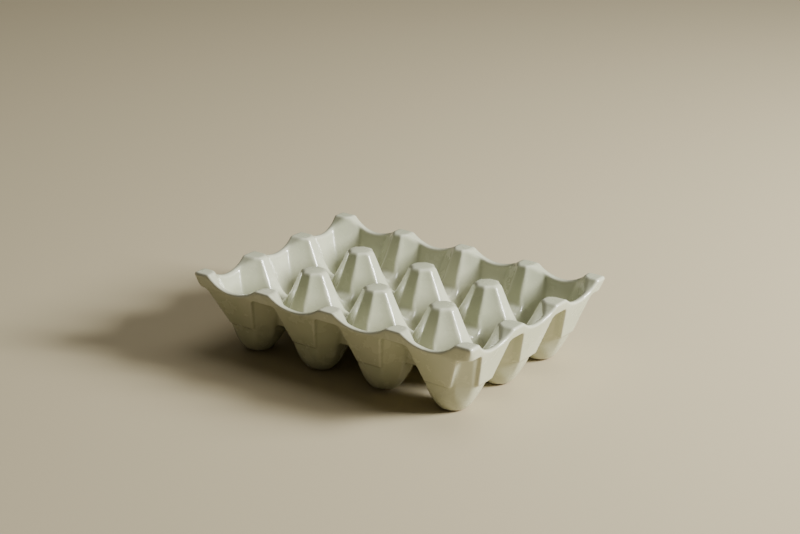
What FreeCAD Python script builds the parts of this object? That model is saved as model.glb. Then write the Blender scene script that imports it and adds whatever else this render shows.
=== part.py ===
# Egg holder tray: a slip-cast stoneware tray with twelve egg cups in four
# columns and three rows, coated all over with a celadon glaze except for the
# dry pads that its twelve feet stand on.
#
# Frame: millimetres, +Z up.  X runs along the long side (four cups), Y along
# the short side (three cups).  The origin is on the surface that the feet
# stand on, under the middle of the tray.  The heights below are measured from
# a level LEG above that surface, and main() lifts the finished solids by LEG.
import FreeCAD, Part
import math
import os

# ---------------------------------------------------------------- dimensions
PITCH = 49.5            # centre to centre of neighbouring cups, both ways
COLUMNS = 4             # cups along X
ROWS = 3                # cups along Y
LEG = 1.4               # how far the feet reach below the level of height 0
PEG_Z = 50.5            # height of the peg tops
RIM_Z = 49.8            # height of the crests of the wavy rim
CORNER_RISE = 2.0       # the crests at the four corners stand this much higher

GLAZE = 0.4             # thickness of the fired glaze
DRY_FOOT = 1.2          # the glaze stops this far above the standing surface

# hollow of each cup: a tapered octagon, half width across flats at a height
CUP_TAPER = 0.41        # growth of the half width with height
CUP_HALF_50 = 27.1      # half width at height 50
CUP_KNEE_Z = 18.6       # below this the hollow closes in faster
CUP_FLOOR = [(2.8, 4.6), (5.2, 7.9), (10.0, 11.0)]   # (height, half width)

# pegs: four flat sides face the neighbouring pegs along X and Y
PEG_HALF_50 = 8.0       # half width across the flat sides at height 50
PEG_TAPER = 0.48        # growth of that half width downwards
CHAMFER_DROP = 1.3      # the top edges are broken this far below the top
CHAMFER_TAPER = 1.15
PEG_ROOF = 4.0          # thickness of a peg's top

# gutters that run between the pegs and climb over the saddles, as (distance
# along the gutter from the middle of a saddle, height of its floor)
GUTTER = [(3.5, 25.3), (10.5, 23.2)]
GUTTER_CORNER = (1.8, 2.2)   # its lower corners are broken: across, up
WEB = 3.4               # thickness round the pegs
WEB_Z = 21.9            # underside of the saddles

# outside walls: each is measured from the centre line of the outer cups.
# The walls of the short ends face +X and -X, those of the long sides +Y, -Y.
PANEL_BOTTOM_Z = 18.6   # lower step of the raised panels
PANEL_TOP_Z = 42.6      # the recesses between the panels end here
WALL_X = {PANEL_BOTTOM_Z: 21.3, PANEL_TOP_Z: 28.6, RIM_Z: 30.2}
WALL_Y = {PANEL_BOTTOM_Z: 17.6, PANEL_TOP_Z: 27.9, RIM_Z: 28.4}
INNER_X = {PANEL_BOTTOM_Z: 15.8, PANEL_TOP_Z: 24.7, RIM_Z: 26.3}   # inside faces
INNER_Y = {PANEL_BOTTOM_Z: 13.7, PANEL_TOP_Z: 24.0, RIM_Z: 24.5}
PANEL_STEP = 1.2        # a panel stands this far proud of the cup behind it
CUP_WALL = 2.9          # wall thickness of the cups elsewhere, measured level
CORNER = {PANEL_BOTTOM_Z: 18.2, PANEL_TOP_Z: 29.7}   # slanting side of a tray corner
# panel half widths at PANEL_BOTTOM_Z and PANEL_TOP_Z, then what is added to
# them on the side of a tray corner
PANEL_X = ((9.7, 17.3), (-4.4, -3.6))
PANEL_Y = ((9.0, 15.7), (0.5, 4.6))

# feet: rounded lower end of each cup's outside, (height, half width)
FOOT = [(-LEG, 7.4), (0.2, 9.2), (2.9, 11.2), (7.3, 13.3), (11.6, 15.0)]

# wavy rim
RIM_TROUGH_Z = 43.2     # lowest point of the rim, at the middle of each cup
SCALLOP_RADIUS = 31.0   # radius of each dip
RIM_DEPTH = 12.6        # the crests reach this far in from the cup boundary
CORNER_CUT = 3.6        # tray corners are broken by this much in plan

OVER = 62.0             # cutting shapes run up to here
TAN = math.tan(math.pi / 8)


# ------------------------------------------------------------------- helpers
def stack(levels):
    """Closed solid through level polygons; levels = [(z, [(x, y)...])]."""
    rings = [[FreeCAD.Vector(x, y, z) for x, y in ring] for z, ring in levels]
    n = len(rings[0])
    faces = [Part.Face(Part.makePolygon(r + [r[0]])) for r in (rings[0], rings[-1])]
    for lo, hi in zip(rings, rings[1:]):
        for i in range(n):
            j = (i + 1) % n
            faces.append(Part.Face(Part.makePolygon([lo[i], lo[j], hi[j], hi[i], lo[i]])))
    solid = Part.Solid(Part.Shell(faces))
    if solid.Volume < 0:
        solid.reverse()
    return solid


def octagon(cx, cy, sides, diagonals):
    """Octagon with flats at sides = (+X, +Y, -X, -Y) and with four slanting
    sides, one distance for all or (+X+Y, -X+Y, -X-Y, +X-Y)."""
    r, u, l, d = sides
    if not isinstance(diagonals, tuple):
        diagonals = (diagonals,) * 4
    a, b, c, e = [v * math.sqrt(2.0) for v in diagonals]
    return [(cx + r, cy - (e - r)), (cx + r, cy + (a - r)),
            (cx + (a - u), cy + u), (cx - (b - u), cy + u),
            (cx - l, cy + (b - l)), (cx - l, cy - (c - l)),
            (cx - (c - d), cy - d), (cx + (e - d), cy - d)]


def rectangle(cx, cy, hx, hy):
    return [(cx + hx, cy - hy), (cx + hx, cy + hy), (cx - hx, cy + hy), (cx - hx, cy - hy)]


def across(offset, taper):
    """Level shift of a sloping face that moves by offset along its normal."""
    return offset * math.sqrt(1.0 + taper * taper)


def between(table, z):
    """Straight-line value of a {height: value} table, run on past its ends."""
    zs = sorted(table)
    k = 0
    while k < len(zs) - 2 and z > zs[k + 1]:
        k += 1
    a, b = zs[k], zs[k + 1]
    return table[a] + (table[b] - table[a]) * (z - a) / (b - a)


XC = [(i - (COLUMNS - 1) / 2.0) * PITCH for i in range(COLUMNS)]     # cup columns
YC = [(j - (ROWS - 1) / 2.0) * PITCH for j in range(ROWS)]           # cup rows
XB = [(i - COLUMNS / 2.0) * PITCH for i in range(1, COLUMNS)]        # peg columns
YB = [(j - ROWS / 2.0) * PITCH for j in range(1, ROWS)]              # peg rows
CUPS = [(x, y) for x in XC for y in YC]
EDGE_X, EDGE_Y = XC[-1], YC[-1]                                      # outer cup lines
HALF_X, HALF_Y = COLUMNS * PITCH / 2.0, ROWS * PITCH / 2.0


def cup_half(z):
    return CUP_HALF_50 + CUP_TAPER * (z - 50.0)


def peg_half(z):
    return PEG_HALF_50 + PEG_TAPER * (50.0 - z)


def diagonals(x, y, inner, outer):
    """Slanting side distances of one cup: outer where it is a tray corner."""
    return tuple(outer if sx * x > EDGE_X - 1 and sy * y > EDGE_Y - 1 else inner
                 for sx, sy in ((1, 1), (-1, 1), (-1, -1), (1, -1)))


def sides(x, y, inner, outer_x, outer_y):
    """Side distances of one cup: outer_x or outer_y where it meets a wall."""
    return (outer_x if x > EDGE_X - 1 else inner, outer_y if y > EDGE_Y - 1 else inner,
            outer_x if x < 1 - EDGE_X else inner, outer_y if y < 1 - EDGE_Y else inner)


def gutter(cx, cy, along_x, saddles, last, inset, w):
    """Air of one gutter with the open space above it.  It is built from
    cross sections, one at each bend of its floor."""
    zc = PEG_Z - CHAMFER_DROP - inset
    flare = CHAMFER_TAPER * (OVER - zc)
    across_corner, up_corner = GUTTER_CORNER

    def flank(z):
        return PITCH / 2.0 - peg_half(z) + w
    stations = []
    for c in saddles:
        stations += [(c - s, z) for s, z in reversed(GUTTER)] + [(c + s, z) for s, z in GUTTER]
    stations = [(-last, GUTTER[-1][1])] + stations + [(last, GUTTER[-1][1])]
    rings = []
    for k, (p, z) in enumerate(stations):
        z = z - inset
        half = [(z, flank(z) - across_corner), (z + up_corner, flank(z + up_corner)),
                (zc, flank(zc)), (OVER, flank(zc) + flare)]
        ring = []
        for sign, part in ((-1, half[::-1]), (1, half)):
            for zz, q in part:
                pp = p
                if k in (0, len(stations) - 1):
                    # the ends lean in line with the pegs' flat sides
                    reach = last - peg_half(min(zz, zc)) + w + max(0.0, zz - zc) * CHAMFER_TAPER
                    pp = math.copysign(reach, p)
                ring.append(FreeCAD.Vector(cx + pp, cy + sign * q, zz) if along_x
                            else FreeCAD.Vector(cx + sign * q, cy + pp, zz))
        rings.append(ring)
    faces = []
    for ring in (rings[0], rings[-1]):
        for part in (ring[1:7], [ring[0], ring[1], ring[6], ring[7]]):
            faces.append(Part.Face(Part.makePolygon(part + [part[0]])))
    for lo, hi in zip(rings, rings[1:]):
        for i in range(8):
            j = (i + 1) % 8
            faces.append(Part.Face(Part.makePolygon([lo[i], lo[j], hi[j], hi[i], lo[i]])))
    solid = Part.Solid(Part.Shell(faces))
    if solid.Volume < 0:
        solid.reverse()
    return solid.removeSplitter()


# ---------------------------------------------------------------------- tray
def tray(inset):
    """The whole tray with every surface but the standing pads moved inwards
    by inset: 0 gives the glazed outside, GLAZE gives the clay body."""
    t = inset
    w = across(t, 0.4)
    top = RIM_Z - t
    peg_top = PEG_Z - t

    # outside of each cup, foot included
    cups = []
    for x, y in CUPS:
        levels = []
        for z, h in FOOT:
            h = h - across(t, 0.6)
            levels.append((z, octagon(x, y, (h, h, h, h), h)))
        for z in (PANEL_BOTTOM_Z, PANEL_TOP_Z, peg_top):
            inner = cup_half(z) + CUP_WALL - w
            wx = between(WALL_X, z) - PANEL_STEP - w
            wy = between(WALL_Y, z) - PANEL_STEP - w
            levels.append((z, octagon(x, y, sides(x, y, inner, wx, wy),
                                      diagonals(x, y, inner, between(CORNER, z) - w))))
        cups.append(stack(levels))

    # raised trapezoid panels on the four walls
    panels = []
    zb, zt = PANEL_BOTTOM_Z + t, PANEL_TOP_Z + 1.0
    for centres, along_x, outer, wall, (half, extra) in (
            (XC, True, EDGE_Y, WALL_Y, PANEL_Y), (YC, False, EDGE_X, WALL_X, PANEL_X)):
        for s in (-1, 1):
            for k, m in enumerate(centres):
                rings = []
                for z in (zb, zt):
                    f = (z - PANEL_BOTTOM_Z) / (PANEL_TOP_Z - PANEL_BOTTOM_Z)
                    h = half[0] + f * (half[1] - half[0]) - across(t, 0.3)
                    e = extra[0] + f * (extra[1] - extra[0])
                    lo = m - h - (e if k == 0 else 0.0)
                    hi = m + h + (e if k == len(centres) - 1 else 0.0)
                    plane = wall[PANEL_BOTTOM_Z] + f * (wall[PANEL_TOP_Z] - wall[PANEL_BOTTOM_Z])
                    near = outer + plane - PANEL_STEP - 1.5
                    far = outer + plane - w
                    if along_x:
                        ring = [(lo, s * near), (hi, s * near), (hi, s * far), (lo, s * far)]
                    else:
                        ring = [(s * near, lo), (s * near, hi), (s * far, hi), (s * far, lo)]
                    rings.append((z, ring))
                panels.append(stack(rings))

    # rim band: a ring that carries the crests, corners broken in plan
    def outline(z):
        hx = EDGE_X + between(WALL_X, z) - w
        hy = EDGE_Y + between(WALL_Y, z) - w
        c = CORNER_CUT
        return [(hx, -hy + c), (hx, hy - c), (hx - c, hy), (-hx + c, hy),
                (-hx, hy - c), (-hx, -hy + c), (-hx + c, -hy), (hx - c, -hy)]
    z0 = PANEL_TOP_Z + t
    band = stack([(z0, outline(z0)), (top, outline(top)),
                  (top + CORNER_RISE, outline(top - CORNER_RISE))])
    inner = RIM_DEPTH + t
    band = band.cut(stack([(z, rectangle(0, 0, HALF_X - inner, HALF_Y - inner))
                           for z in (z0 - 5, top + 5)]))

    # web that joins the cups under the saddles and makes the pegs
    zw = WEB_Z + t

    def back(z):
        return peg_half(z) - WEB + w
    web = stack([(z, rectangle(0, 0, HALF_X - back(z), HALF_Y - back(z)))
                 for z in (zw, peg_top)])
    inside = [stack([(z, rectangle(x, y, back(z), back(z)))
                     for z in (zw - 5, PEG_Z - PEG_ROOF + t)]) for x in XB for y in YB]
    web = web.cut(inside)

    solid = cups[0].fuse(cups[1:] + panels + [band, web])

    # hollows of the cups
    air = []
    zc = PEG_Z - CHAMFER_DROP - t
    flare = CHAMFER_TAPER * (OVER - zc)
    for x, y in CUPS:
        levels = []
        for k, (z, h) in enumerate(CUP_FLOOR):
            h = h + across(t, 0.6)
            levels.append((z - (t if k == 0 else 0.4 * t), octagon(x, y, (h, h, h, h), h)))
        for z in (CUP_KNEE_Z, PANEL_TOP_Z, zc):
            r = cup_half(z) + w
            wx = between(INNER_X, z) + w
            wy = between(INNER_Y, z) + w
            levels.append((z, octagon(x, y, sides(x, y, r, wx, wy), r)))
        r, wx, wy = r + flare, wx + flare, wy + flare
        levels.append((OVER, octagon(x, y, sides(x, y, r, wx, wy), r)))
        air.append(stack(levels))

    # gutters between the pegs: along X through each row of cups, and along
    # Y through each column
    for y in YC:
        air.append(gutter(0, y, True, XB, HALF_X, t, w))
    for x in XC:
        air.append(gutter(x, 0, False, YB, HALF_Y, t, w))

    # dips of the rim, one over each cup on each wall
    r = SCALLOP_RADIUS + t
    zs = RIM_TROUGH_Z + SCALLOP_RADIUS
    for s in (-1, 1):
        for x in XC:
            air.append(Part.makeCylinder(r, 30.0, FreeCAD.Vector(x, s * (HALF_Y - RIM_DEPTH), zs),
                                         FreeCAD.Vector(0, s, 0)))
        for y in YC:
            air.append(Part.makeCylinder(r, 30.0, FreeCAD.Vector(s * (HALF_X - RIM_DEPTH), y, zs),
                                         FreeCAD.Vector(s, 0, 0)))

    # the crests along the walls stop a little below the peg tops; the four
    # at the corners keep the full height of the band
    run_x, run_y = HALF_X - 6.0, HALF_Y - 6.0
    for s in (-1, 1):
        air.append(Part.makeBox(2 * run_x, 40, 20,
                                FreeCAD.Vector(-run_x, (HALF_Y - RIM_DEPTH) if s > 0
                                               else -(HALF_Y - RIM_DEPTH) - 40, top)))
        air.append(Part.makeBox(40, 2 * run_y, 20,
                                FreeCAD.Vector((HALF_X - RIM_DEPTH) if s > 0
                                               else -(HALF_X - RIM_DEPTH) - 40, -run_y, top)))

    return solid.cut(air).removeSplitter()


def largest(shape):
    return max(shape.Solids, key=lambda s: s.Volume)


def main():
    os.makedirs("parts", exist_ok=True)
    outside = tray(0.0)
    body = tray(GLAZE)
    print("outside solids", len(outside.Solids), "valid", outside.isValid())
    print("body solids", len(body.Solids), "valid", body.isValid())
    body = largest(body)
    below = Part.makeBox(400, 400, DRY_FOOT + 5, FreeCAD.Vector(-200, -200, -5 - LEG))
    coat = outside.cut(body).cut(below)
    print("coat solids", len(coat.Solids), "valid", coat.isValid(),
          [round(s.Volume, 2) for s in coat.Solids][:6])
    coat = largest(coat)
    for name, shape in (("stoneware_body", body), ("glaze_coat", coat)):
        shape.translate(FreeCAD.Vector(0, 0, LEG))
        b = shape.BoundBox
        print(name, "volume mm3", round(shape.Volume, 1), "faces", len(shape.Faces),
              "box", [round(v, 2) for v in (b.XMin, b.XMax, b.YMin, b.YMax, b.ZMin, b.ZMax)],
              "valid", shape.isValid())
        shape.exportStep("parts/%s.step" % name)


main()
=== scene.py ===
import math

import bpy
import numpy as np
from mathutils import Matrix, Vector


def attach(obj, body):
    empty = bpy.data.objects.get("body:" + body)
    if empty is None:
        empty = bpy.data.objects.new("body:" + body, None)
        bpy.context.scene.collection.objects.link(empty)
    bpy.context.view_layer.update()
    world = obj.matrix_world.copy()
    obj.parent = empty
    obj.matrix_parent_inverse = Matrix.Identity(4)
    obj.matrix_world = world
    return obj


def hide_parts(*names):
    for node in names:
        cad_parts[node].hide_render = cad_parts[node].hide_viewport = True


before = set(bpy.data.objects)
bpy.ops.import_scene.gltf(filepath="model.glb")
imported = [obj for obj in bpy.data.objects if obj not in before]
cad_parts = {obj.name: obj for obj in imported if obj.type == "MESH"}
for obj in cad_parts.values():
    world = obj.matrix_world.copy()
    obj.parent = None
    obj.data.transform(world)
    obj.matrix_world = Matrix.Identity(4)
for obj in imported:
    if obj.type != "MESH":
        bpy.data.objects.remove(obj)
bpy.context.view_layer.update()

# ------------------------------------------------------------- dimensions, mm
# The same driving dimensions as the CAD part, with the radii that glaze and
# casting slip leave on every edge and in every corner.
P = 49.5                                  # cup pitch
XC = (-0.5 * P, 0.5 * P, 1.5 * P)         # cup columns that reach x >= 0
YC = (0.0, P)                             # cup rows that reach y >= 0
XB, YB = (0.0, P, 2.0 * P), (0.5 * P, 1.5 * P)    # lines between the cups
HX, HY = 2.0 * P, 1.5 * P
EX, EY = 1.5 * P, P                       # outermost cup lines
R2 = math.sqrt(0.5)

CUP_50, CUP_TAPER = 27.1, 0.41            # cup half width at z = 50, growth
PEG_50, PEG_TAPER = 8.0, 0.48             # the same for the pegs, downwards
PEG_Z, RIM_Z = 50.42, 49.75
LEG = 1.4                                 # heights count from this far up
CORNER_RISE = 2.0
SADDLE_Z, WEB_Z, PEG_ROOF_Z = 25.5, 20.6, 46.5
STEP_Z, BAND_Z = 18.6, 42.6               # lower and upper edge of the recesses
TROUGH_Z, SCALLOP = 43.2, 31.0
WALL = 3.9
DRY = 1.2                                 # the glaze stops this far up the feet
# how much narrower than at STEP_Z the feet are, lower down
FOOT = np.polyfit((-1.4, 0.1, 1.6, 3.6, 7.0, 11.5, 18.6, 21.0), (10.9, 9.3, 7.9, 6.4, 4.5, 2.5, 0.0, -0.9), 5)
FOOT_SLOPE = np.polyder(FOOT)


def bend(z, z0, v0, below, above, w):
    """A line through (z0, v0) whose slope changes softly from below to above."""
    t = z - z0
    return v0 + below * t + (above - below) * 0.5 * (t + np.sqrt(t * t + w * w))


def wall_x(z, w=0.05):
    return bend(z, BAND_Z, 28.6, 8.9 / 24.0, 1.6 / 7.2, w)


def wall_out(z, w=0.05):
    return bend(z, BAND_Z, 28.5, 7.2 / 24.0, 1.6 / 7.2, w)


def wall_y(z, w=0.05):
    return bend(z, BAND_Z, 27.9, 10.3 / 24.0, 0.5 / 7.2, w)


# --------------------------------------------------- rounded set operations
def meet(r, *d):
    """Intersection of half spaces (largest value), edges rounded by r."""
    m = d[0]
    for e in d[1:]:
        m = np.maximum(m, e)
    s = 0.0
    for e in d:
        u = np.maximum(e + r, 0.0)
        s = s + u * u
    return np.minimum(m, -r) + np.sqrt(s)


def join(r, *d):
    """Union (smallest value), inner corners filled by r."""
    return -meet(r, *[-e for e in d])


def slope(t):
    return 1.0 / math.sqrt(1.0 + t * t)


# -------------------------------------------------------------- the tray, mm
def cavity(x, y, z, cx, cy):
    """Hollow of one cup, negative in the air."""
    u, v = x - cx, y - cy
    half = CUP_50 + CUP_TAPER * (z - 50.0)
    k = slope(CUP_TAPER)
    right = (u - (wall_x(z, 5.0) - WALL if cx == EX else half)) * k
    left = (-u - half) * k
    back = (v - (wall_y(z, 5.0) - WALL if cy == EY else half)) * k
    front = (-v - half) * k
    # the four slanting facets are hollow from ridge to ridge
    au, av = np.abs(u), np.abs(v)
    w = (au - av) * R2
    peg = PEG_50 + PEG_TAPER * (50.0 - z)
    low = np.clip((z - 21.0) / 7.0, 0.0, 1.0)
    ridge = 0.414 * half * (1.0 - low) + (2.0 * peg - P + half / R2) * R2 * low
    ridge = np.maximum(ridge, 2.5)
    to_x = np.where(u > 0.0, (wall_x(z, 5.0) - WALL) / R2 - half, ridge) if cx == EX else ridge
    to_y = np.where(v > 0.0, (wall_y(z, 5.0) - WALL) / R2 - half, ridge) if cy == EY else ridge
    part = w / np.maximum(np.where(w > 0.0, to_x, to_y), 2.5)
    diag = ((au + av) * R2 - half - 0.09 * ridge * (1.0 - np.minimum(part * part, 1.3))) * k
    return meet(6.5, meet(0.75, right, left, back, front, diag), 3.0 - z)


def channel(p, q, z, crests, last):
    """Gutter between two rows of pegs that passes over the saddles at the
    crests; p runs along it and q is across it."""
    a = PEG_50 + PEG_TAPER * (50.0 - z)
    side = (np.abs(q) - (0.5 * P - a)) * slope(PEG_TAPER)
    s = 1e3
    for c in crests:
        s = np.minimum(s, np.abs(p - c))
    floor = (SADDLE_Z - np.minimum(s, 12.0) ** 2 / 45.0 - z) * 0.97
    return meet(1.2, meet(3.0, side, floor), (p - (last - a)) * 0.9)


def feet_and_cups(x, y, z, cx, cy, base):
    """Outside of one cup with its foot, negative in the clay."""
    u, v = x - cx, y - cy
    up = np.clip(z, STEP_Z, None)
    dn = np.clip(z, -2.2, STEP_Z)
    less = np.polyval(FOOT, dn) - np.polyval(FOOT, STEP_Z)
    half = 18.2 + CUP_TAPER * (up - STEP_Z) - less
    f = (up - STEP_Z) / (BAND_Z - STEP_Z)
    ox = np.where(z < STEP_Z, 20.1 - 1.17 * less, wall_out(up) - 1.2 - 0.6 * f)
    oy = np.where(z < STEP_Z, 16.4 - 0.86 * less, wall_y(up) - 1.25 - 0.85 * f)
    right = u - (ox if cx == EX else half)
    back = v - (oy if cy == EY else half)
    left, front = -u - half, -v - half
    corner = cx == EX and cy == EY
    dd = (u + v) * R2
    wide = 18.4 + 0.48 * (up - STEP_Z) - 0.99 * less
    slant = half + 0.8 * np.clip((z - 17.0) / 5.0, 0.0, 1.0)
    d1 = dd - (wide if corner else slant)
    d2 = np.maximum((u - v) * R2, np.maximum((-u + v) * R2, -dd)) - slant
    lean = np.where(z < STEP_Z, -np.polyval(FOOT_SLOPE, dn), 0.4)
    k = 1.0 / np.sqrt(1.0 + lean * lean)
    ring = meet(1.0, right * k, left * k, back * k, front * k, d2 * k)
    ring = meet(1.9 if corner else 1.0, ring, d1 * k)
    # the feet are turned round, the facets only begin above them
    uo = u - (0.8 if cx == EX else 0.0)
    rr = (np.sqrt(uo * uo + v * v) - (half + 0.25)) * k
    t = np.clip((z - 3.0) / 13.0, 0.0, 1.0)
    t = t * t * (3.0 - 2.0 * t)
    side = ring * t + rr * (1.0 - t)
    return meet(1.3, side, base - z)


def trapezoid(t, z, c, low, high, extra=(0.0, 0.0)):
    """Outline of a raised panel in the plane of its wall."""
    f = (z - STEP_Z) / (BAND_Z - STEP_Z)
    h = low + (high - low) * f
    e = extra[0] + (extra[1] - extra[0]) * f
    return meet(1.0, (t - c - h - e) * 0.96, (c - h - t) * 0.96, STEP_Z - z)


def outside(x, y, z, base):
    px = (x - EX - wall_out(z, 1.5)) * 0.955
    py = (y - EY - wall_y(z, 1.5)) * 0.94
    tip = ((x + y) * R2 - 124.7 - 0.62 * (z - BAND_Z)) * 0.85
    box = meet(1.7, px, py, tip)
    rim = np.maximum(BAND_Z - z, -(box + 11.0))
    masks = [rim]
    for c in (0.5 * P, 1.5 * P):
        e = (0.5, 4.6) if c == EX else (0.0, 0.0)
        masks.append(np.maximum(trapezoid(x, z, c, 9.0, 15.7, e), -(py + 7.0)))
    for c in (0.0, P):
        e = (-4.4, -3.6) if c == EY else (0.0, 0.0)
        masks.append(np.maximum(trapezoid(y, z, c, 9.7, 17.3, e), -(px + 7.0)))
    mask = join(2.2, *masks)
    walls = meet(0.7, box, mask)

    cups = [feet_and_cups(x, y, z, cx, cy, base) for cx in XC for cy in YC]
    # web under the saddles and inside the pegs
    back = PEG_50 - 3.4 + PEG_TAPER * (50.0 - z)
    web = meet(1.0, WEB_Z - z, (x - HX + back) * 0.9, (y - HY + back) * 0.9)
    for xb in XB[:2]:
        p = np.abs(x - xb) - back
        q = np.abs(y - YB[0]) - back
        web = meet(1.5, web, -meet(2.0, p * 0.9, q * 0.9, z - PEG_ROOF_Z))
    return join(1.1, walls, web, *cups)


def top(x, y, z):
    """Upper limit of the clay: pegs and rim crests, dips of the rim."""
    t = np.clip((x - HX + 16.0) / 5.0, 0.0, 1.0) + np.clip((y - HY + 16.0) / 5.0, 0.0, 1.0)
    t = np.clip(t, 0.0, 1.0)
    rr = 1e9
    for xb in XB[:2]:
        rr = np.minimum(rr, (x - xb) ** 2 + (y - YB[0]) ** 2)
    level = PEG_Z - 0.006 * np.minimum(rr, 120.0)
    far = np.clip((x - HX + 12.0) / 5.0, 0.0, 1.0) * np.clip((y - HY + 12.0) / 5.0, 0.0, 1.0)
    d = [z - (level * (1.0 - t) + RIM_Z * t + CORNER_RISE * far)]
    zs = TROUGH_Z + SCALLOP
    for c in (0.5 * P, 1.5 * P):
        g = np.where(x > EX, 1.15, 1.0)          # steeper towards a tray corner
        s = SCALLOP - np.sqrt(((x - c) * g) ** 2 + (z - zs) ** 2)
        d.append(np.where(y > HY - 16.0, s, -9.0))
    for c in (0.0, P):
        g = np.where(y > EY, 1.15, 1.0)
        s = SCALLOP - np.sqrt(((y - c) * g) ** 2 + (z - zs) ** 2)
        d.append(np.where(x > HX - 16.0, s, -9.0))
    return meet(0.9, *d)


def tray(x, y, z, base=0.0):
    x, y = np.abs(x), np.abs(y)
    air = []
    for cx in XC:
        for cy in YC:
            air.append(-cavity(x, y, z, cx, cy))
    for cy in YC:
        air.append(-channel(x, y - cy, z, XB[:2], HX))
    for cx in XC:
        air.append(-channel(y, x - cx, z, YB[:1], HY))
    s = np.clip((z - 39.5) / 5.0, 0.0, 1.0)
    low = np.clip((30.0 - z) / 4.0, 0.0, 1.0)
    inner = meet(1.15 - 0.5 * s * s * (3.0 - 2.0 * s) + 0.75 * low * low * (3.0 - 2.0 * low), *air)
    upper = meet(1.7, inner, top(x, y, z))
    near = np.clip(((x + y) * R2 - 116.0) / 7.0, 0.0, 1.0)
    return meet(1.4 + 0.7 * near, upper, outside(x, y, z, base))


def glazed(x, y, z):
    """Glazed surface; its edge is rounded where it stops above the pads."""
    return meet(0.35, tray(x, y, z - LEG, -LEG), DRY - z)


def bare(x, y, z):
    """Fired clay under the glaze, standing on its dry pads."""
    return tray(x, y, z - LEG, -0.4 - LEG) + 0.4


# ------------------------------------------------------------------- meshing
def levels(*runs):
    """Grid heights: runs of (start, end, step) joined end to end."""
    out = []
    for a, b, s in runs:
        n = max(1, int(round((b - a) / s)))
        out += [a + (b - a) * i / n for i in range(n)]
    return np.array(out + [runs[-1][1]])


def grid_mesh(field, step, zs):
    """Quads on the surface field = 0, one vertex per cell that it crosses."""
    nx, ny = int(math.ceil(106.0 / step)), int(math.ceil(79.5 / step))
    hx, hy = (np.arange(nx) + 0.5) * step, (np.arange(ny) + 0.5) * step
    quarter = field(hx[:, None, None], hy[None, :, None], zs[None, None, :])
    f = np.concatenate([quarter[::-1], quarter], 0)
    f = np.concatenate([f[:, ::-1], f], 1)
    gx, gy = np.concatenate([-hx[::-1], hx]), np.concatenate([-hy[::-1], hy])
    axes = (gx, gy, zs)
    inside = f < 0.0
    n = np.zeros(tuple(s - 1 for s in f.shape), np.int8)
    offs = [(a, b, c) for a in (0, 1) for b in (0, 1) for c in (0, 1)]
    for a, b, c in offs:
        n += inside[a:n.shape[0] + a, b:n.shape[1] + b, c:n.shape[2] + c]
    cell = np.nonzero((n > 0) & (n < 8))
    index = np.full(n.shape, -1, np.int64)
    index[cell] = np.arange(len(cell[0]))
    val = {o: f[cell[0] + o[0], cell[1] + o[1], cell[2] + o[2]] for o in offs}
    pos = {o: np.stack([axes[i][cell[i] + o[i]] for i in range(3)], 1) for o in offs}
    acc, cnt = np.zeros((len(cell[0]), 3)), np.zeros(len(cell[0]))
    for o in offs:
        for i in range(3):
            if o[i]:
                continue
            e = tuple(1 if j == i else o[j] for j in range(3))
            a, b = val[o], val[e]
            cross = (a < 0) != (b < 0)
            t = np.where(cross, a / np.where(cross, a - b, 1.0), 0.0)
            acc += np.where(cross[:, None], pos[o] + t[:, None] * (pos[e] - pos[o]), 0.0)
            cnt += cross
    verts = acc / cnt[:, None]
    quads = []
    for i in range(3):
        j, k = (i + 1) % 3, (i + 2) % 3
        lo = [slice(None)] * 3
        hi = [slice(None)] * 3
        lo[i], hi[i] = slice(0, -1), slice(1, None)
        change = inside[tuple(lo)] != inside[tuple(hi)]
        at = np.array(np.nonzero(change))
        ok = (at[j] > 0) & (at[k] > 0) & (at[j] < n.shape[j]) & (at[k] < n.shape[k])
        at = at[:, ok]
        ring = []
        for dj, dk in ((1, 1), (0, 1), (0, 0), (1, 0)):
            c = at.copy()
            c[j] -= dj
            c[k] -= dk
            ring.append(index[c[0], c[1], c[2]])
        q = np.stack(ring, 1)
        flip = ~inside[at[0], at[1], at[2]]
        q[flip] = q[flip][:, ::-1]
        quads.append(q)
    return verts, np.concatenate(quads)


def gradient(field, p, e=0.02):
    g = np.empty_like(p)
    for i in range(3):
        a, b = p.copy(), p.copy()
        a[:, i] += e
        b[:, i] -= e
        g[:, i] = (field(a[:, 0], a[:, 1], a[:, 2]) - field(b[:, 0], b[:, 1], b[:, 2])) / (2 * e)
    return g


def settle(field, p, limit, times):
    """Moves points onto the surface along its gradient."""
    for _ in range(times):
        g = gradient(field, p)
        d = field(p[:, 0], p[:, 1], p[:, 2])
        s = -d / np.maximum((g * g).sum(1), 0.05)
        move = g * s[:, None]
        length = np.sqrt((move * move).sum(1))
        move *= np.minimum(1.0, limit / np.maximum(length, 1e-9))[:, None]
        p = p + move
    return p


def relax(p, q, weight):
    """Evens out the quads: each point moves towards the mean of its neighbours."""
    acc, cnt = np.zeros_like(p), np.zeros(len(p))
    for a, b in ((0, 1), (1, 2), (2, 3), (3, 0)):
        for s, t in ((a, b), (b, a)):
            for i in range(3):
                acc[:, i] += np.bincount(q[:, s], p[q[:, t], i], len(p))
            cnt += np.bincount(q[:, s], minlength=len(p))
    return p + weight * (acc / cnt[:, None] - p)


def surface(field, step, zs, rounds):
    p, q = grid_mesh(field, step, zs)
    p = settle(field, p, 0.5 * step, 2)
    for _ in range(rounds):
        p = relax(p, q, 0.5)
        p = settle(field, p, 0.5 * step, 1)
    return settle(field, p, 0.3 * step, 2), q


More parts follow.
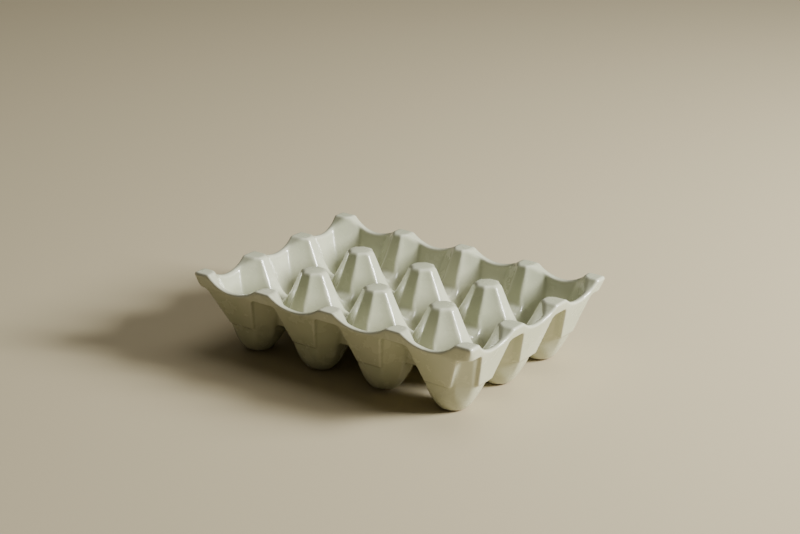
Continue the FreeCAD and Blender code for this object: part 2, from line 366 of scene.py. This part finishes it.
def solid(name, p, q):
    mesh = bpy.data.meshes.new(name)
    mesh.vertices.add(len(p))
    mesh.loops.add(q.size)
    mesh.polygons.add(len(q))
    mesh.polygons.foreach_set("loop_start", np.arange(0, q.size, 4, dtype=np.int32))
    mesh.polygons.foreach_set("vertices", q.ravel().astype(np.int32))
    mesh.vertices.foreach_set("co", (p * 0.001).astype(np.float32).ravel())
    mesh.update(calc_edges=True)
    mesh.validate()
    mesh.shade_smooth()
    ob = bpy.data.objects.new(name, mesh)
    bpy.context.scene.collection.objects.link(ob)
    print(name, "points", len(p), "quads", len(q))
    return ob


fine = levels((-2.0, 5.6, 1.0), (5.6, 16.4, 1.65), (16.4, 23.4, 1.2), (23.4, 38.4, 1.7), (38.4, 55.0, 0.95))
glaze_points, glaze_quads = surface(glazed, 0.98, fine, 2)
glaze = solid("celadon_glaze", glaze_points, glaze_quads)
# the clay has the same skin, one glaze thickness further in, and its pads
# come out below the glaze
clay_points = settle(bare, glaze_points, 0.6, 6)
clay_points[:, 2] = np.maximum(clay_points[:, 2], 0.0)
clay = solid("stoneware_casting", clay_points, glaze_quads)


def curvature(p, e=0.7):
    """Bend of the surface: positive on edges, negative in inner corners."""
    total = 0.0
    for i in range(3):
        for s in (-1.0, 1.0):
            a = p.copy()
            a[:, i] += s * e
            g = gradient(glazed, a, 0.25)
            g /= np.maximum(np.sqrt((g * g).sum(1)), 1e-6)[:, None]
            total = total + s * g[:, i] / (2 * e)
    return total


bent = curvature(glaze_points)
for name, values in (("edge", np.clip(bent / 0.55, 0.0, 1.0)), ("pool", np.clip(-bent / 0.35, 0.0, 1.0))):
    attribute = glaze.data.attributes.new(name, "FLOAT", "POINT")
    attribute.data.foreach_set("value", values.astype(np.float32))


# ----------------------------------------------------------------- materials
def material(name):
    m = bpy.data.materials.new(name)
    m.use_nodes = True
    m.node_tree.nodes.clear()
    return m, m.node_tree.nodes, m.node_tree.links


def glaze_material():
    m, nodes, links = material("celadon_glaze")
    out = nodes.new("ShaderNodeOutputMaterial")
    bsdf = nodes.new("ShaderNodeBsdfPrincipled")
    links.new(bsdf.outputs["BSDF"], out.inputs["Surface"])
    bsdf.inputs["Specular IOR Level"].default_value = 0.5
    bsdf.inputs["IOR"].default_value = 1.5
    bsdf.inputs["Coat Weight"].default_value = 0.45
    bsdf.inputs["Coat Roughness"].default_value = 0.09
    bsdf.inputs["Coat IOR"].default_value = 1.5

    where = nodes.new("ShaderNodeTexCoord")

    def noise(scale, detail, rough):
        n = nodes.new("ShaderNodeTexNoise")
        n.inputs["Scale"].default_value = scale
        n.inputs["Detail"].default_value = detail
        n.inputs["Roughness"].default_value = rough
        links.new(where.outputs["Object"], n.inputs["Vector"])
        return n.outputs["Fac"]

    def mix(kind, a, b, fac):
        n = nodes.new("ShaderNodeMix")
        n.data_type = "RGBA"
        n.blend_type = kind
        for socket, value in ((n.inputs[0], fac), (n.inputs[6], a), (n.inputs[7], b)):
            if isinstance(value, bpy.types.NodeSocket):
                links.new(value, socket)
            else:
                socket.default_value = value
        return n.outputs[2]

    def ramp(value, lo, hi, a=0.0, b=1.0):
        n = nodes.new("ShaderNodeMapRange")
        n.interpolation_type = "SMOOTHSTEP"
        n.inputs["From Min"].default_value = lo
        n.inputs["From Max"].default_value = hi
        n.inputs["To Min"].default_value = a
        n.inputs["To Max"].default_value = b
        links.new(value, n.inputs["Value"])
        return n.outputs["Result"]

    def attribute(name):
        n = nodes.new("ShaderNodeAttribute")
        n.attribute_name = name
        return n.outputs["Fac"]

    # celadon: a grey-green that drifts a little warmer and cooler over the tray
    cloud = noise(26.0, 3.0, 0.55)
    tone = mix("MIX", (0.490, 0.502, 0.350, 1.0), (0.550, 0.550, 0.400, 1.0), ramp(cloud, 0.35, 0.65))
    mottle = noise(240.0, 4.0, 0.6)
    tone = mix("MIX", tone, (0.455, 0.462, 0.335, 1.0), ramp(mottle, 0.45, 0.8, 0.0, 0.10))
    # the glaze runs thin and pale on edges, and stands deeper in inner corners
    tone = mix("MIX", tone, (0.66, 0.64, 0.53, 1.0), ramp(attribute("edge"), 0.10, 1.0, 0.0, 0.30))
    tone = mix("MIX", tone, (0.39, 0.40, 0.27, 1.0), ramp(attribute("pool"), 0.05, 1.0, 0.0, 0.45))
    # a few faint iron specks of the clay show through
    specks = nodes.new("ShaderNodeTexVoronoi")
    specks.inputs["Scale"].default_value = 190.0
    links.new(where.outputs["Object"], specks.inputs["Vector"])
    few = ramp(noise(70.0, 1.0, 0.5), 0.60, 0.70)
    dot = ramp(specks.outputs["Distance"], 0.045, 0.085, 1.0, 0.0)
    both = nodes.new("ShaderNodeMath")
    both.operation = "MULTIPLY"
    links.new(few, both.inputs[0])
    links.new(dot, both.inputs[1])
    half = nodes.new("ShaderNodeMath")
    half.operation = "MULTIPLY"
    half.inputs[1].default_value = 0.45
    links.new(both.outputs[0], half.inputs[0])
    tone = mix("MIX", tone, (0.22, 0.18, 0.11, 1.0), half.outputs[0])
    links.new(tone, bsdf.inputs["Base Color"])

    links.new(ramp(noise(90.0, 3.0, 0.6), 0.3, 0.7, 0.20, 0.30), bsdf.inputs["Roughness"])
    # orange peel of the fired surface, and pinholes
    peel = nodes.new("ShaderNodeBump")
    peel.inputs["Strength"].default_value = 0.08
    peel.inputs["Distance"].default_value = 0.0006
    links.new(noise(420.0, 2.0, 0.5), peel.inputs["Height"])
    wave = nodes.new("ShaderNodeBump")
    wave.inputs["Strength"].default_value = 0.12
    wave.inputs["Distance"].default_value = 0.0012
    links.new(noise(75.0, 1.0, 0.4), wave.inputs["Height"])
    links.new(peel.outputs["Normal"], wave.inputs["Normal"])
    links.new(wave.outputs["Normal"], bsdf.inputs["Normal"])
    return m


def clay_material():
    m, nodes, links = material("bare_stoneware")
    out = nodes.new("ShaderNodeOutputMaterial")
    bsdf = nodes.new("ShaderNodeBsdfPrincipled")
    links.new(bsdf.outputs["BSDF"], out.inputs["Surface"])
    bsdf.inputs["Roughness"].default_value = 0.85
    bsdf.inputs["Specular IOR Level"].default_value = 0.25
    where = nodes.new("ShaderNodeTexCoord")
    grain = nodes.new("ShaderNodeTexNoise")
    grain.inputs["Scale"].default_value = 900.0
    grain.inputs["Detail"].default_value = 5.0
    grain.inputs["Roughness"].default_value = 0.7
    links.new(where.outputs["Object"], grain.inputs["Vector"])
    ramp = nodes.new("ShaderNodeValToRGB")
    ramp.color_ramp.elements[0].position = 0.3
    ramp.color_ramp.elements[0].color = (0.36, 0.27, 0.18, 1.0)
    ramp.color_ramp.elements[1].position = 0.62
    ramp.color_ramp.elements[1].color = (0.58, 0.47, 0.34, 1.0)
    links.new(grain.outputs["Fac"], ramp.inputs["Fac"])
    links.new(ramp.outputs["Color"], bsdf.inputs["Base Color"])
    bump = nodes.new("ShaderNodeBump")
    bump.inputs["Strength"].default_value = 0.5
    bump.inputs["Distance"].default_value = 0.0003
    links.new(grain.outputs["Fac"], bump.inputs["Height"])
    links.new(bump.outputs["Normal"], bsdf.inputs["Normal"])
    return m


glaze.data.materials.append(glaze_material())
clay.data.materials.append(clay_material())
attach(glaze, "root")
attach(clay, "root")
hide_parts("glaze_coat")
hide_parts("stoneware_body")

# ------------------------------------------------------- floor, light, camera
mesh = bpy.data.meshes.new("floor")
mesh.from_pydata([(-3.0, -3.0, 0.0), (3.0, -3.0, 0.0), (3.0, 3.0, 0.0), (-3.0, 3.0, 0.0)], [], [(0, 1, 2, 3)])
floor = bpy.data.objects.new("floor", mesh)
bpy.context.scene.collection.objects.link(floor)
fm, nodes, links = material("floor")
out = nodes.new("ShaderNodeOutputMaterial")
bsdf = nodes.new("ShaderNodeBsdfPrincipled")
bsdf.inputs["Base Color"].default_value = (0.49, 0.418, 0.278, 1.0)
bsdf.inputs["Roughness"].default_value = 0.9
bsdf.inputs["Specular IOR Level"].default_value = 0.1
links.new(bsdf.outputs["BSDF"], out.inputs["Surface"])
floor.data.materials.append(fm)

world = bpy.data.worlds.new("studio")
world.use_nodes = True
world.node_tree.nodes["Background"].inputs["Color"].default_value = (0.98, 0.93, 0.78, 1.0)
world.node_tree.nodes["Background"].inputs["Strength"].default_value = 0.07
bpy.context.scene.world = world


def lamp(name, place, aim, size, power, colour):
    light = bpy.data.lights.new(name, "AREA")
    light.shape = "RECTANGLE"
    light.size, light.size_y = size
    light.energy = power
    light.color = colour
    ob = bpy.data.objects.new(name, light)
    d = (Vector(aim) - Vector(place)).normalized()
    ob.matrix_world = Matrix.Translation(Vector(place)) @ d.to_track_quat("-Z", "Y").to_matrix().to_4x4()
    bpy.context.scene.collection.objects.link(ob)
    return ob


lamp("key", (1.27, 0.69, 0.73), (0.0, 0.0, 0.03), (0.5, 0.5), 74.0, (0.975, 1.0, 0.985))
lamp("top", (0.1, 0.4, 1.5), (0.0, 0.0, 0.0), (1.1, 1.1), 8.0, (1.0, 0.985, 0.93))
lamp("fill", (-1.1, 0.7, 1.2), (0.0, 0.0, 0.0), (1.4, 1.4), 1.5, (1.0, 0.98, 0.92))

# camera: the angle of view found from the cup grid, in metres
FOCAL, THETA, ELEV, ROLL = 1787.606, math.radians(35.01), math.radians(19.90), math.radians(-1.16)
DIST, CX, CY = 1.14578, -1.127, 82.439
ct, st, ce, se = math.cos(THETA), math.sin(THETA), math.cos(ELEV), math.sin(ELEV)
right = Vector((ct, st, 0.0))
ahead = Vector((-st * ce, ct * ce, -se))
down = ahead.cross(right)
c, s = math.cos(ROLL), math.sin(ROLL)
right, down = c * right + s * down, -s * right + c * down
place = -(CX * DIST / FOCAL) * right - (CY * DIST / FOCAL) * down - DIST * ahead
place.z += 0.001 * LEG
data = bpy.data.cameras.new("camera")
data.sensor_fit = "HORIZONTAL"
data.sensor_width = 36.0
data.lens = FOCAL * 36.0 / 800.0
data.clip_start, data.clip_end = 0.05, 20.0
camera = bpy.data.objects.new("camera", data)
rows = Matrix((right, -down, -ahead)).transposed()
camera.matrix_world = Matrix.Translation(place) @ rows.to_4x4()
bpy.context.scene.collection.objects.link(camera)
bpy.context.scene.camera = camera
